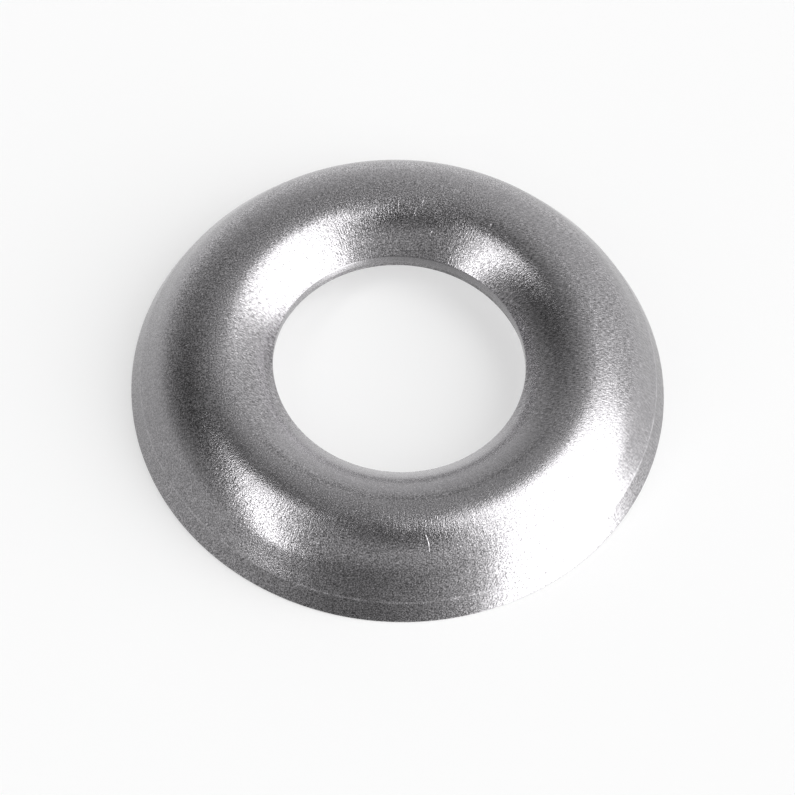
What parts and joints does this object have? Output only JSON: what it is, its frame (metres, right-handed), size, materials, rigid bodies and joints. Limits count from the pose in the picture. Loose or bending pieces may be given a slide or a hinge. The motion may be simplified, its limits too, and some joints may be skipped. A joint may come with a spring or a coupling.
{
  "type": "finishing cup washer",
  "caption": "Round finishing washer stamped from sheet metal: a skirt rises from a flat rim over a rounded crest and falls into a cup around a central screw hole.",
  "frame": {"origin": "on the axis of the hole, in the plane of the flat rim that the washer stands on", "axes": "+Z along the axis of the hole, from the rim towards the crest and the screw's head; the shape is the same all round the axis, so X and Y are free"},
  "size_m": [0.0142, 0.0142, 0.0022],
  "materials": {
    "stamped_steel": "satin, tumbled after stamping, with fine draw marks that run from the hole to the rim"
  },
  "bodies": {
    "root": {"cup_washer": "stamped_steel"}
  },
  "joints": []
}
